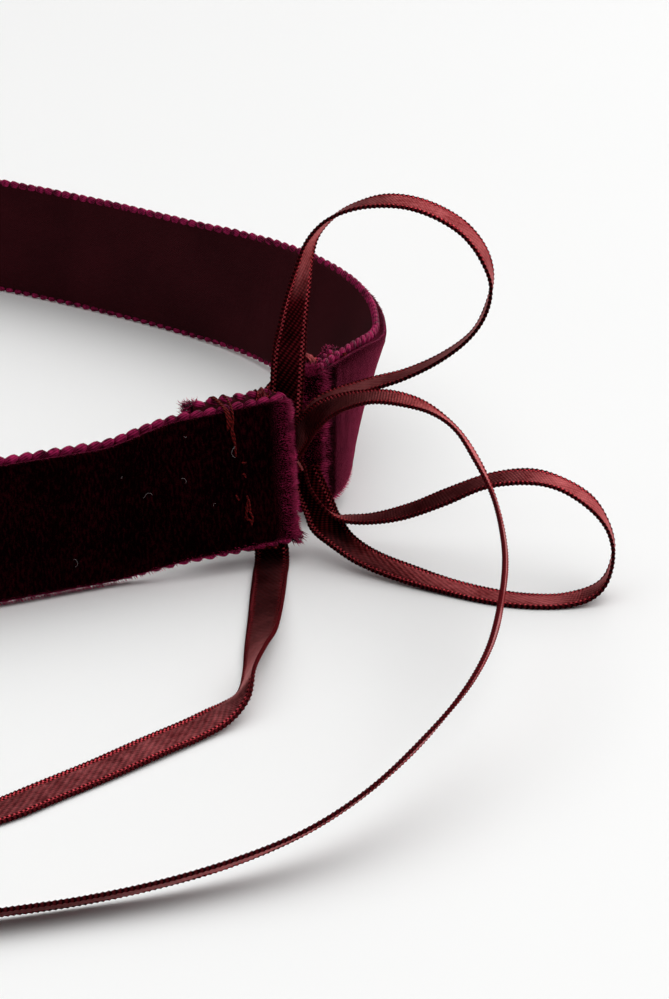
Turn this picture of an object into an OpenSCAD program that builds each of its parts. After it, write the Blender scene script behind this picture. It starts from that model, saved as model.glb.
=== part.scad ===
// Velvet bow-tie neckband: a velvet ribbon band whose folded ends are drawn
// together by one narrow satin ribbon, tied in a bow with two loops and two tails.
// The band stands on its lower edge. +X is the bow side, +Y the far side, +Z up.
// The origin is the middle of the band's footprint, on the surface it stands on.

/* [Velvet band] */
// Width of the velvet ribbon, from selvedge to selvedge
band_w = 12.7; // [11:0.1:15]
// Thickness of the woven ground
ground_t = 0.6; // [0.4:0.05:0.8]
// Standing length of the velvet pile
pile_t = 1.1; // [0.7:0.05:1.4]
// Height of each selvedge's row of weft loops
selvedge_w = 0.9; // [0.6:0.05:1.2]
// Thickness of the selvedge cords
selvedge_t = 0.5; // [0.3:0.05:0.7]

/* [Folded casings] */
// Clear gap in a folded end, where the satin ribbon runs through
casing_gap = 0.6; // [0.4:0.05:0.8]
// Length of velvet folded back on the inside at each end
tab_l = 7; // [5:0.5:9]
// Distance from the fold to the row of stitches
stitch_s = 5; // [4.5:0.1:5.5]

/* [Satin ribbon] */
// Width of the satin ribbon
satin_w = 3; // [2.5:0.1:3.2]
// Thickness of the satin ribbon
satin_t = 0.3; // [0.2:0.02:0.36]

/* [Sewing thread] */
// Thickness of the sewing thread
thread_d = 0.36; // [0.25:0.01:0.45]

/* [Knot] */
// Radius of the bunched ribbon inside the knot
knot_core_r = 1.15; // [0.9:0.05:1.2]
// Outer radius of the turn of ribbon around the knot
knot_wrap_r = 1.6; // [1.4:0.05:1.65]
// Length of the knot along the ribbons that it ties together
knot_l = 3; // [2.6:0.1:3]

/* [Quality] */
// Length of one step along the band
band_step = 3; // [2.5:0.5:5]
// Steps between two neighbouring points of a satin route
route_steps = 3; // [2:1:3]

/* [Hidden] */

velvet_color = [0.36, 0.06, 0.2];
ground_color = [0.26, 0.06, 0.11];
selvedge_color = [0.55, 0.12, 0.36];
satin_color = [0.32, 0.07, 0.1];
thread_color = [0.42, 0.09, 0.07];

// The band's middle line starts at the near end and runs round the ring to the far
// end, as arcs: [length, clockwise turn in degrees].
band_start = [48.95, -34.5];
band_heading = 206;
band_arcs = [[24, 0], [104, 101], [110, 136], [36, 13], [40, 51], [13, 20]];
band_l = sum([for (a = band_arcs) a[0]]);

// How the band is held, at places along it: [distance from the near end,
// height of the lower edge, lean inwards, tilt of the end in the band's own plane].
band_pose = [[0, 1.5, 18, 5], [8, 1.1, 13, 1], [17, 0, 0, 0], [band_l - 60, 0, 0, 0],
             [band_l - 28, 0.9, -21, 0], [band_l - 17, 0.9, -18, 1], [band_l, 1.3, 5, 12]];

half_gap = casing_gap / 2;
// Offsets outwards from the band's middle: of a casing's own middle and of its back face
fold_out = -(ground_t / 2 + half_gap);
back_out = 2 * fold_out - ground_t / 2 - pile_t;
turn_steps = 6;
// Clearances: of a selvedge from the ground and pile beside it, and of a stitch over the pile
clear = 0.02;
stitch_clear = 0.15;
knot_at = [49.4, -29.8, 8.3];
knot_wrap_l = knot_l * 2 / 3;

// ---- small helpers ----

function sum(v, i = 0) = i < len(v) ? v[i] + sum(v, i + 1) : 0;
function unit(v) = v / norm(v);
function mix(a, b, f) = a + (b - a) * f;
function reversed(v) = [for (i = [len(v) - 1 : -1 : 0]) v[i]];

// Value of a table of [place, value, value, ...] rows at a place, eased between rows.
function table_row(t, s, i = 0) = i >= len(t) - 2 || s < t[i + 1][0] ? i : table_row(t, s, i + 1);
function ease(f) = f * f * (3 - 2 * f);
function table_at(t, s, col) =
    let (i = table_row(t, s), f = (s - t[i][0]) / (t[i + 1][0] - t[i][0]))
    mix(t[i][col], t[i + 1][col], ease(min(1, max(0, f))));

// ---- the band's frames ----

// End of one arc that starts at a place with a heading.
function arc_end(p, heading, length, turn) =
    turn == 0 ? p + length * [cos(heading), sin(heading)]
    : let (r = length / (turn * PI / 180))
      p + r * [sin(heading) - sin(heading - turn), cos(heading - turn) - cos(heading)];

// Place and heading on the middle line at a distance from the near end.
function band_at(s, p = band_start, heading = band_heading, i = 0) =
    let (length = band_arcs[i][0], turn = band_arcs[i][1])
    s <= length || i == len(band_arcs) - 1
    ? let (part = turn * s / length) [arc_end(p, heading, s, part), heading - part]
    : band_at(s - length, arc_end(p, heading, length, turn), heading - turn, i + 1);

// Frame of the band: [centre, along, outwards, up], all in space.
function band_frame(s) =
    let (spot = band_at(s), h = spot[1],
         lean = table_at(band_pose, s, 2), tilt = table_at(band_pose, s, 3),
         along = [cos(h), sin(h), 0], out = [-sin(h), cos(h), 0],
         up0 = [0, 0, cos(lean)] - out * sin(lean),
         up = up0 * cos(tilt) - along * sin(tilt),
         tangent = along * cos(tilt) + up0 * sin(tilt),
         lift = table_at(band_pose, s, 1) + band_w / 2 * cos(lean) * cos(tilt))
    [[spot[0].x, spot[0].y, lift], tangent, cross(up, tangent), up];

// Point at a distance along the band, outwards of its middle and above it.
function band_point(s, out, up) =
    let (f = band_frame(s)) f[0] + f[2] * out + f[3] * up;

function band_stops(from, to) =
    let (n = max(1, round((to - from) / band_step))) [for (i = [0 : n]) mix(from, to, i / n)];

// ---- solids made of rows of four corners ----

// A closed solid through rows of corner points, all rows with the same count.
module swept(rows) {
    n = len(rows[0]);
    points = [for (r = rows) for (p = r) p];
    sides = [for (i = [0 : len(rows) - 2]) for (k = [0 : n - 1])
        let (a = i * n + k, b = i * n + (k + 1) % n)
        each k < 2 ? [[a, b, a + n], [b, b + n, a + n]] : [[a, b, b + n], [a, b + n, a + n]]];
    first = [for (k = [n - 1 : -1 : 0]) k];
    last = [for (k = [0 : n - 1]) (len(rows) - 1) * n + k];
    polyhedron(points = points, faces = concat([first], [last], sides));
}

// Corners of a layer at one frame, between two points and two heights.
function layer_row(inner, outer, up, low, high) =
    [outer + up * low, inner + up * low, inner + up * high, outer + up * high];

// A layer of the band between two offsets outwards and two heights.
module band_layer(from, to, inner, outer, low, high) {
    swept([for (s = band_stops(from, to)) let (f = band_frame(s))
        layer_row(f[0] + f[2] * inner, f[0] + f[2] * outer, f[3], low, high)]);
}

// The folded end: round the fold and back along the inside. The solid lies between
// two distances from the middle of the fold.
module casing(s_end, way, near_r, far_r) {
    f = band_frame(s_end);
    middle = f[0] + f[2] * fold_out;
    turn = [for (k = [0 : turn_steps])
        let (a = 180 * k / turn_steps, dir = f[2] * cos(a) - f[1] * sin(a) * way)
        layer_row(middle + dir * near_r, middle + dir * far_r, f[3], -band_w / 2, band_w / 2)];
    tab = [for (d = [tab_l / 3, tab_l * 2 / 3, tab_l])
        let (g = band_frame(s_end + way * d))
        layer_row(g[0] + g[2] * (fold_out - near_r), g[0] + g[2] * (fold_out - far_r), g[3],
                  -band_w / 2, band_w / 2)];
    rows = concat(turn, tab);
    swept(way > 0 ? reversed(rows) : rows);
}

// ---- satin ribbon ----

// Smooth curve through a route, one span at a time.
function spline(a, b, c, d, f) =
    0.5 * (2 * b + (c - a) * f + (2 * a - 5 * b + 4 * c - d) * f * f
           + (3 * b - a - 3 * c + d) * f * f * f);
function route_value(r, i, f, k) =
    let (last = len(r) - 1)
    spline(r[max(0, i - 1)][k], r[i][k], r[min(last, i + 1)][k], r[min(last, i + 2)][k], f);
function route_stops(r) = concat(
    [for (i = [0 : len(r) - 2]) for (j = [0 : route_steps - 1]) [i, j / route_steps]],
    [[len(r) - 2, 1]]);

// Flat section with its edges eased, across the ribbon and through its thickness.
satin_section = [for (p = [[1, 0.4], [0.8, 1], [-0.8, 1], [-1, 0.4],
                           [-1, -0.4], [-0.8, -1], [0.8, -1], [1, -0.4]])
    [p.x * satin_w / 2, p.y * satin_t / 2]];

// A stretch of satin ribbon along a route of [place, direction of its width].
module satin(route) {
    stops = route_stops(route);
    centres = [for (t = stops) route_value(route, t[0], t[1], 0)];
    widths = [for (t = stops) route_value(route, t[0], t[1], 1)];
    last = len(stops) - 1;
    color(satin_color) swept([for (i = [0 : last])
        let (along = unit(centres[min(last, i + 1)] - centres[max(0, i - 1)]),
             w = unit(widths[i] - along * (widths[i] * along)),
             thick = cross(w, along))
        [for (p = satin_section) centres[i] + w * p.x + thick * p.y]]);
}

// Routes of the free stretches, each from the knot or casing to its end.
upper_loop_route = [
    [[49.3, -30, 10.8], [1, 0, 0]], [[49.4, -29.4, 13], [1, 0, 0]],
    [[49.6, -29, 16], [1, 0.1, 0]], [[49.9, -29, 18.5], [0.9, 0.5, -0.1]],
    [[50.4, -29, 21.5], [0.7, 0.7, -0.1]], [[51, -29.4, 24.5], [0.5, 0.9, 0]],
    [[51.7, -29.8, 26.6], [0.4, 0.9, 0]], [[53.2, -30.6, 28.5], [0.4, 0.9, 0]],
    [[55.2, -31.3, 29.7], [0.3, 1, 0]], [[57.5, -31.8, 30.3], [0.2, 1, 0.1]],
    [[59.9, -32.2, 30.2], [0.2, 1, 0.1]], [[62.3, -32.6, 29.4], [0.2, 1, 0.1]],
    [[64.4, -32.8, 28], [0.2, 1, 0.1]], [[65.9, -33, 26], [0.2, 1, 0.1]],
    [[66.6, -33, 23.7], [0.1, 1, 0.1]], [[66.2, -32.8, 21.2], [0.1, 1, 0.1]],
    [[64.9, -32.5, 18.8], [0.2, 1, 0]], [[62.5, -32, 16.7], [0.2, 1, 0]],
    [[59.5, -31.4, 15], [0.1, 1, 0]], [[56.5, -30.6, 13.8], [0.1, 1, 0.1]],
    [[53.5, -29.6, 12.5], [0.1, 1, 0.1]], [[51.6, -29, 11.3], [0.1, 1, 0.1]]];
lower_loop_route = [
    [[51, -30.6, 5.8], [0.1, 0.7, -0.7]], [[51.6, -32, 4.5], [0.2, 0.7, -0.7]],
    [[52.8, -33.6, 3.5], [0.3, 0.7, -0.6]], [[54.4, -34.6, 3.2], [0.5, 0.8, -0.2]],
    [[56.5, -35.8, 3.6], [0.5, 0.9, 0]], [[59.6, -37.5, 4.9], [0.4, 0.9, 0.2]],
    [[62.9, -39, 6.8], [0.2, 1, 0.2]], [[66.2, -39.9, 8.5], [0.2, 1, 0.1]],
    [[69.5, -40.7, 9.2], [0.2, 1, 0.1]], [[72.1, -41.3, 8.8], [0.2, 1, 0]],
    [[74.5, -42, 7.5], [0.2, 1, 0]], [[76, -42.6, 5.6], [0.1, 1, -0.1]],
    [[76.5, -43.4, 3.6], [0.1, 1, -0.1]], [[75.9, -44.4, 1.7], [0.1, 1, -0.1]],
    [[74.4, -45.2, 0.6], [0.1, 1, 0]], [[72, -45.8, 0.2], [0.2, 1, 0]],
    [[69, -45.7, 0.2], [0.2, 1, 0]], [[66, -44.6, 0.2], [0.4, 0.9, 0]],
    [[62.8, -42.8, 0.3], [0.5, 0.9, 0]], [[59.5, -40.8, 0.6], [0.6, 0.8, 0.1]],
    [[56.3, -38.6, 1.1], [0.6, 0.8, 0.1]], [[54, -36.4, 1.9], [0.7, 0.7, 0.1]],
    [[52.7, -34.6, 2.8], [0.7, 0.5, 0.5]], [[52.1, -33.2, 3.8], [0.6, 0.3, 0.7]]];
arc_tail_route = [
    [[51, -32.2, 10.3], [-0.2, 0.7, 0.6]], [[52, -33.4, 11.9], [0, 0.8, 0.7]],
    [[53.4, -34.6, 13.2], [0.3, 0.8, 0.5]], [[55.2, -36, 14.3], [0.5, 0.8, 0.3]],
    [[57.4, -37.6, 15.1], [0.6, 0.8, 0.1]], [[59.8, -39.3, 15.2], [0.6, 0.8, -0.1]],
    [[62, -41.1, 14.7], [0.5, 0.7, -0.4]], [[63.8, -43.2, 13.7], [0.4, 0.7, -0.6]],
    [[65.3, -46, 11.9], [0.4, 0.5, -0.7]], [[66.4, -49.5, 10], [0.3, 0.4, -0.9]],
    [[66.8, -54, 8.6], [0.2, 0.2, -1]], [[66.5, -60, 8], [0, 0, -1]],
    [[65.6, -67.5, 7.7], [-0.1, 0.1, -1]], [[64.1, -74, 7.1], [-0.3, 0.2, -0.9]],
    [[61.9, -79.2, 6.2], [-0.4, 0.4, -0.8]], [[59.1, -83.9, 5.1], [-0.4, 0.5, -0.8]],
    [[55.5, -88.4, 3.8], [-0.4, 0.6, -0.7]], [[51.5, -91.9, 2.7], [-0.3, 0.7, -0.6]],
    [[46.9, -94.6, 1.9], [-0.3, 0.7, -0.6]], [[42, -96.8, 1.4], [-0.2, 0.8, -0.6]],
    [[36.8, -98.6, 1.1], [-0.2, 0.8, -0.6]], [[31.5, -100.2, 1.1], [-0.3, 0.8, -0.6]],
    [[25, -101.9, 1.1], [-0.2, 0.9, -0.5]], [[17, -103.5, 0.9], [-0.1, 0.9, -0.4]],
    [[9, -104.4, 0.7], [-0.1, 1, -0.3]], [[1, -104.7, 0.5], [0, 1, -0.2]],
    [[-7, -104.2, 0.4], [0, 1, -0.1]], [[-15, -103, 0.2], [0.1, 1, 0]]];
hanging_tail_route = [
    [[48.3, -36, 0.3], [1, 0, 0]], [[48.2, -37.6, 0.3], [1, 0, 0]],
    [[48.1, -40.2, 0.3], [1, 0, 0]], [[48, -44.5, 0.4], [1, 0, 0.1]],
    [[47.9, -49.5, 0.7], [1, 0, 0.3]], [[47.7, -55, 1.1], [0.9, 0, 0.5]],
    [[47.3, -60.5, 1.5], [0.6, 0, 0.8]], [[46.8, -64.7, 1.6], [0.5, -0.1, 0.9]],
    [[46, -67.4, 1.1], [0.8, -0.5, 0.4]], [[44.7, -69.3, 0.7], [0.8, -0.6, 0]],
    [[42.9, -71.2, 0.5], [0.7, -0.7, -0.1]], [[40.1, -74.1, 0.5], [0.7, -0.7, -0.1]],
    [[36.7, -77.6, 0.4], [0.7, -0.7, -0.1]], [[33.2, -81.1, 0.4], [0.7, -0.7, -0.1]],
    [[30, -84.2, 0.4], [0.6, -0.8, -0.1]], [[25.5, -87.2, 0.4], [0.5, -0.8, -0.1]],
    [[19.5, -89.5, 0.3], [0.3, -0.9, 0]], [[12.5, -90.5, 0.2], [0.1, -1, 0]],
    [[5, -90.2, 0.2], [0, -1, 0]], [[-3, -88.8, 0.2], [-0.2, -1, 0]]];

// ---- the pieces ----

module velvet_ground() {
    half_t = ground_t / 2;
    half_w = band_w / 2;
    pile_edge = half_w - selvedge_w;
    section = [[half_t, -half_w], [-half_t, -half_w], [-half_t, half_w], [half_t, half_w],
               [half_t, pile_edge], [half_t, -pile_edge]];
    color(ground_color) swept([for (s = band_stops(0, band_l)) let (f = band_frame(s))
        [for (p = section) f[0] + f[2] * p.x + f[3] * p.y]]);
}

module velvet_pile() {
    low = -band_w / 2 + selvedge_w;
    color(velvet_color) band_layer(0, band_l, ground_t / 2, ground_t / 2 + pile_t, low, -low);
}

// A selvedge cord on the outer face of the ground, along one long edge.
module selvedge(low) {
    color(selvedge_color)
        band_layer(0, band_l, ground_t / 2 + clear, ground_t / 2 + selvedge_t,
                   low, low + selvedge_w - 2 * clear);
}
module upper_selvedge() { selvedge(band_w / 2 - selvedge_w + 2 * clear); }
module lower_selvedge() { selvedge(-band_w / 2); }

module near_casing() {
    color(velvet_color) casing(0, 1, half_gap, half_gap + ground_t + pile_t);
}
module far_casing() {
    color(velvet_color) casing(band_l, -1, half_gap, half_gap + ground_t + pile_t);
}

// A thread that goes over the upper edge and down both faces of a casing.
module stitching(s_end, way) {
    proud = thread_d / 2 + stitch_clear;
    front = ground_t / 2 + pile_t + proud;
    back = back_out - proud;
    top = band_w / 2 + proud;
    s = s_end + way * stitch_s;
    color(thread_color) for (i = [-1 : 1]) let (x = s + i * thread_d * 1.4)
        thread([band_point(x, front, -top * 0.8 + i), band_point(x + 0.2 * i, front, 0),
                band_point(x, front, top), band_point(x, back, top),
                band_point(x - 0.2 * i, back, 0), band_point(x, back, -top * 0.8 - i)]);
}

// A thread of square section through its corner points.
module thread(path) {
    last = len(path) - 1;
    swept([for (i = [0 : last])
        let (along = unit(path[min(last, i + 1)] - path[max(0, i - 1)]),
             side = unit(cross(along, [0.5, 0.3, 0.1])),
             other = cross(side, along))
        [for (a = [45 : 90 : 315]) path[i] + thread_d / 2 * (side * cos(a) + other * sin(a))]]);
}
module near_stitching() { stitching(0, 1); }
module far_stitching() { stitching(band_l, -1); }

// The satin ribbon through the near casing, over its back and down to the knot. Inside
// the casing its width lies along the band.
near_lead_s = 1.7;
near_along = band_frame(near_lead_s)[1];
near_lead_route = [
    [band_point(near_lead_s, fold_out, 1 - band_w / 2), near_along],
    [band_point(near_lead_s, fold_out, 0), near_along],
    [band_point(near_lead_s, fold_out, band_w / 2 + 0.1), near_along],
    [band_point(near_lead_s, fold_out - 0.4, band_w / 2 + 0.6), near_along],
    [band_point(near_lead_s, back_out + 0.3, band_w / 2 + 0.6), near_along],
    [band_point(near_lead_s, back_out - 0.6, band_w / 2 - 0.4), near_along],
    [[45.5, -30.2, 11.2], [-1, -0.3, 0.3]], [[46, -30.2, 9.6], [-0.9, -0.2, -0.9]],
    [[47.2, -30.2, 8.4], [-0.1, -0.1, -1]]];

// The same ribbon from the knot through the far casing and back to the knot.
far_lead_s = band_l - 1.7;
far_along = -band_frame(far_lead_s)[1];
far_lead_route = [
    [[48, -27.9, 9.2], [1, 0.3, 0.3]], [[47.3, -26.9, 11], [0.8, 0.8, 0.3]],
    [band_point(far_lead_s, back_out - 0.6, band_w / 2 - 1), far_along],
    [band_point(far_lead_s, back_out + 0.2, band_w / 2 + 0.8), far_along],
    [band_point(far_lead_s, fold_out - 0.4, band_w / 2 + 0.7), far_along],
    [band_point(far_lead_s, fold_out, band_w / 2 + 0.1), far_along],
    [band_point(far_lead_s, fold_out, 0), far_along],
    [band_point(far_lead_s, fold_out, -band_w / 2 - 0.1), far_along],
    [band_point(far_lead_s, fold_out - 0.4, -band_w / 2 - 0.7), far_along],
    [band_point(far_lead_s, back_out + 0.2, -band_w / 2 - 0.8), far_along],
    [band_point(far_lead_s, back_out - 0.6, 1 - band_w / 2), far_along],
    [[47.2, -26.5, 5.2], [0.8, 0.8, -0.3]], [[48, -27.9, 7.3], [1, 0.3, -0.3]]];

module near_lead() { satin(near_lead_route); }
module far_lead() { satin(far_lead_route); }

// The knot ties along Y: the ribbons bunched inside it, and one turn around them.
module along_y(length) {
    translate(knot_at) rotate([90, 0, 0]) translate([0, 0, -length / 2]) children();
}
module knot_core() {
    color(satin_color) along_y(knot_l) cylinder(h = knot_l, r = knot_core_r, $fn = 48);
}
module knot_wrap() {
    color(satin_color) along_y(knot_wrap_l) difference() {
        cylinder(h = knot_wrap_l, r = knot_wrap_r, $fn = 48);
        translate([0, 0, -1]) cylinder(h = knot_wrap_l + 2, r = knot_core_r, $fn = 48);
    }
}

module upper_loop() { satin(upper_loop_route); }
module lower_loop() { satin(lower_loop_route); }
module arc_tail() { satin(arc_tail_route); }
module hanging_tail() { satin(hanging_tail_route); }

velvet_ground();
velvet_pile();
upper_selvedge();
lower_selvedge();
near_casing();
far_casing();
near_stitching();
far_stitching();
near_lead();
far_lead();
knot_core();
knot_wrap();
upper_loop();
lower_loop();
arc_tail();
hanging_tail();
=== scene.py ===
import math
import random

import bpy
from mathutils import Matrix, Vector, noise


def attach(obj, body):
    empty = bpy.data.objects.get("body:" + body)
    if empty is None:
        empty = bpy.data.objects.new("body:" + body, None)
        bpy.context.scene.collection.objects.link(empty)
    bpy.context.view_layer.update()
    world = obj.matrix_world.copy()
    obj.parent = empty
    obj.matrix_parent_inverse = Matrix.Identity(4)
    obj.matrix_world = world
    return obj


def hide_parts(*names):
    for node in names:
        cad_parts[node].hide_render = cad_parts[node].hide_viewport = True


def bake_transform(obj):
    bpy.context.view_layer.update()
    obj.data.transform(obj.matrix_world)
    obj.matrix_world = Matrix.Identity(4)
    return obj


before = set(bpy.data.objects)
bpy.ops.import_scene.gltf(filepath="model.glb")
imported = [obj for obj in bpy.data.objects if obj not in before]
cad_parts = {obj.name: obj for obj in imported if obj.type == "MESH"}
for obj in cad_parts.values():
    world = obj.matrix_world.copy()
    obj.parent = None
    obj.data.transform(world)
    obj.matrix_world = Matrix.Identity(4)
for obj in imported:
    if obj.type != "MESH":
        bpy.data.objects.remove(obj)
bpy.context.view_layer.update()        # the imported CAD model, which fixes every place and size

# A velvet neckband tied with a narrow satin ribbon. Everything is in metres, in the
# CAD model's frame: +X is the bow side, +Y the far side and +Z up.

random.seed(7)

MM = 0.001
UP = Vector((0, 0, 1))

# ---- driving dimensions, the same as the CAD model's ----

BAND_WIDTH = 12.7 * MM
GROUND_THICKNESS = 0.6 * MM
PILE_HEIGHT = 1.1 * MM
SELVEDGE_WIDTH = 0.9 * MM
CASING_GAP = 0.6 * MM
TAB_LENGTH = 7 * MM
SATIN_WIDTH = 3 * MM
SATIN_THICKNESS = 0.3 * MM
THREAD_DIAMETER = 0.36 * MM

HALF_BAND = BAND_WIDTH / 2
# The pile spreads a little way over each selvedge
PILE_EDGE = HALF_BAND - SELVEDGE_WIDTH * 0.62
FOLD_RADIUS = (CASING_GAP + GROUND_THICKNESS) / 2
FOLD_LENGTH = math.pi * FOLD_RADIUS
TAB_BACK = -2 * FOLD_RADIUS - GROUND_THICKNESS / 2 - PILE_HEIGHT

# Spacing of the repeats that the cloth shows
WEFT_LOOP_PITCH = 1.2 * MM
PICOT_PITCH = 0.4 * MM
# Of the woven beads inside the picots, in millimetres
BEAD_PITCH = 0.38

# The band's middle line as arcs of (length, clockwise turn in degrees), and how the
# band is held: (place, height of its lower edge, lean inwards, tilt in its own plane).
BAND_START = Vector((0.04895, -0.0345))
BAND_HEADING = 206
BAND_ARCS = [(0.024, 0), (0.104, 101), (0.110, 136), (0.036, 13), (0.040, 51), (0.013, 20)]
BAND_LENGTH = sum(length for length, turn in BAND_ARCS)
BAND_POSE = [
    (0, 0.0015, 18, 5), (0.008, 0.0011, 13, 1), (0.017, 0, 0, 0),
    (BAND_LENGTH - 0.060, 0, 0, 0), (BAND_LENGTH - 0.028, 0.0009, -21, 0),
    (BAND_LENGTH - 0.017, 0.0009, -18, 1), (BAND_LENGTH, 0.0013, 5, 12)]

# How much higher or lower the folded tabs sit than the cloth in front of them
NEAR_TAB_RISE = 0.6 * MM
FAR_TAB_DROP = 0.5 * MM

KNOT_AT = Vector((0.0494, -0.0298, 0.0083))
KNOT_RADIUS = 1.45 * MM
KNOT_LENGTH = 3 * MM

# The camera's place, how far it looks down and its field of view, in degrees
CAMERA_PLACE = (0.0535, -0.272, 0.0955)
CAMERA_DOWN = 20.9
CAMERA_FIELD = 19

# Routes of the satin ribbon's free stretches: (place, direction of its width)
UPPER_LOOP = [
    ((0.0494, -0.0299, 0.0092), (1, 0, 0)),
    ((0.0493, -0.0300, 0.0108), (1, 0, 0)), ((0.0494, -0.0294, 0.0130), (1, 0, 0)),
    ((0.0496, -0.0290, 0.0160), (1, 0.1, 0)), ((0.0499, -0.0290, 0.0185), (0.9, 0.5, -0.1)),
    ((0.0504, -0.0290, 0.0215), (0.7, 0.7, -0.1)), ((0.0510, -0.0294, 0.0245), (0.5, 0.9, 0)),
    ((0.0517, -0.0298, 0.0266), (0.4, 0.9, 0)), ((0.0532, -0.0306, 0.0285), (0.4, 0.9, 0)),
    ((0.0552, -0.0313, 0.0297), (0.3, 1, 0)), ((0.0575, -0.0318, 0.0303), (0.2, 1, 0.1)),
    ((0.0599, -0.0322, 0.0302), (0.2, 1, 0.1)), ((0.0623, -0.0326, 0.0294), (0.2, 1, 0.1)),
    ((0.0644, -0.0328, 0.0280), (0.2, 1, 0.1)), ((0.0659, -0.0330, 0.0260), (0.2, 1, 0.1)),
    ((0.0666, -0.0330, 0.0237), (0.1, 1, 0.1)), ((0.0662, -0.0328, 0.0212), (0.1, 1, 0.1)),
    ((0.0649, -0.0325, 0.0188), (0.2, 1, 0)), ((0.0625, -0.0320, 0.0167), (0.2, 1, 0)),
    ((0.0595, -0.0314, 0.0150), (0.1, 1, 0)), ((0.0565, -0.0306, 0.0138), (0.1, 1, 0.1)),
    ((0.0535, -0.0296, 0.0125), (0.1, 1, 0.1)), ((0.0516, -0.0290, 0.0113), (0.1, 1, 0.1)),
    ((0.0504, -0.0290, 0.0098), (0.2, 1, 0.1))]
LOWER_LOOP = [
    ((0.0502, -0.0298, 0.0070), (0.1, 0.8, -0.6)),
    ((0.0510, -0.0306, 0.0058), (0.1, 0.7, -0.7)), ((0.0516, -0.0320, 0.0045), (0.2, 0.7, -0.7)),
    ((0.0528, -0.0336, 0.0035), (0.3, 0.7, -0.6)), ((0.0544, -0.0346, 0.0032), (0.5, 0.8, -0.2)),
    ((0.0565, -0.0358, 0.0036), (0.5, 0.9, 0)), ((0.0596, -0.0375, 0.0049), (0.4, 0.9, 0.2)),
    ((0.0629, -0.0390, 0.0068), (0.2, 1, 0.2)), ((0.0662, -0.0399, 0.0085), (0.2, 1, 0.1)),
    ((0.0695, -0.0407, 0.0092), (0.2, 1, 0.1)), ((0.0721, -0.0413, 0.0088), (0.2, 1, 0)),
    ((0.0745, -0.0420, 0.0075), (0.2, 1, 0)), ((0.0760, -0.0426, 0.0056), (0.1, 1, -0.1)),
    ((0.0765, -0.0434, 0.0036), (0.1, 1, -0.1)), ((0.0759, -0.0444, 0.0017), (0.1, 1, -0.1)),
    ((0.0744, -0.0452, 0.0006), (0.1, 1, 0)), ((0.0720, -0.0458, 0.0002), (0.2, 1, 0)),
    ((0.0690, -0.0457, 0.0002), (0.2, 1, 0)), ((0.0660, -0.0446, 0.0002), (0.4, 0.9, 0)),
    ((0.0628, -0.0428, 0.0003), (0.5, 0.9, 0)), ((0.0595, -0.0408, 0.0006), (0.6, 0.8, 0.1)),
    ((0.0563, -0.0386, 0.0011), (0.6, 0.8, 0.1)), ((0.0540, -0.0364, 0.0019), (0.7, 0.7, 0.1)),
    ((0.0527, -0.0346, 0.0028), (0.7, 0.5, 0.5)), ((0.0521, -0.0332, 0.0038), (0.6, 0.3, 0.7)),
    ((0.0508, -0.0312, 0.0062), (0.6, 0.1, 0.8))]
ARC_TAIL = [
    ((0.0502, -0.0310, 0.0088), (-0.3, 0.7, 0.6)),
    ((0.0510, -0.0322, 0.0103), (-0.2, 0.7, 0.6)), ((0.0520, -0.0334, 0.0119), (0, 0.8, 0.7)),
    ((0.0534, -0.0346, 0.0132), (0.3, 0.8, 0.5)), ((0.0552, -0.0360, 0.0143), (0.5, 0.8, 0.3)),
    ((0.0574, -0.0376, 0.0151), (0.6, 0.8, 0.1)), ((0.0598, -0.0393, 0.0152), (0.6, 0.8, -0.1)),
    ((0.0620, -0.0411, 0.0147), (0.5, 0.7, -0.4)), ((0.0638, -0.0432, 0.0137), (0.4, 0.7, -0.6)),
    ((0.0653, -0.0460, 0.0119), (0.4, 0.5, -0.7)), ((0.0664, -0.0495, 0.0100), (0.3, 0.4, -0.9)),
    ((0.0668, -0.0540, 0.0086), (0.2, 0.2, -1)), ((0.0665, -0.0600, 0.0080), (0, 0, -1)),
    ((0.0656, -0.0675, 0.0077), (-0.1, 0.1, -1)), ((0.0641, -0.0740, 0.0071), (-0.3, 0.2, -0.9)),
    ((0.0619, -0.0792, 0.0062), (-0.4, 0.4, -0.8)), ((0.0591, -0.0839, 0.0051), (-0.4, 0.5, -0.8)),
    ((0.0555, -0.0884, 0.0038), (-0.4, 0.6, -0.7)), ((0.0515, -0.0919, 0.0027), (-0.3, 0.7, -0.6)),
    ((0.0469, -0.0946, 0.0019), (-0.3, 0.7, -0.6)), ((0.0420, -0.0968, 0.0014), (-0.2, 0.8, -0.6)),
    ((0.0368, -0.0986, 0.0011), (-0.2, 0.8, -0.6)), ((0.0315, -0.1002, 0.0011), (-0.3, 0.8, -0.6)),
    ((0.0250, -0.1019, 0.0011), (-0.2, 0.9, -0.5)), ((0.0170, -0.1035, 0.0009), (-0.1, 0.9, -0.4)),
    ((0.0090, -0.1044, 0.0007), (-0.1, 1, -0.3)), ((0.0010, -0.1047, 0.0005), (0, 1, -0.2)),
    ((-0.0070, -0.1042, 0.0004), (0, 1, -0.1)), ((-0.0150, -0.1030, 0.0002), (0.1, 1, 0))]
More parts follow.
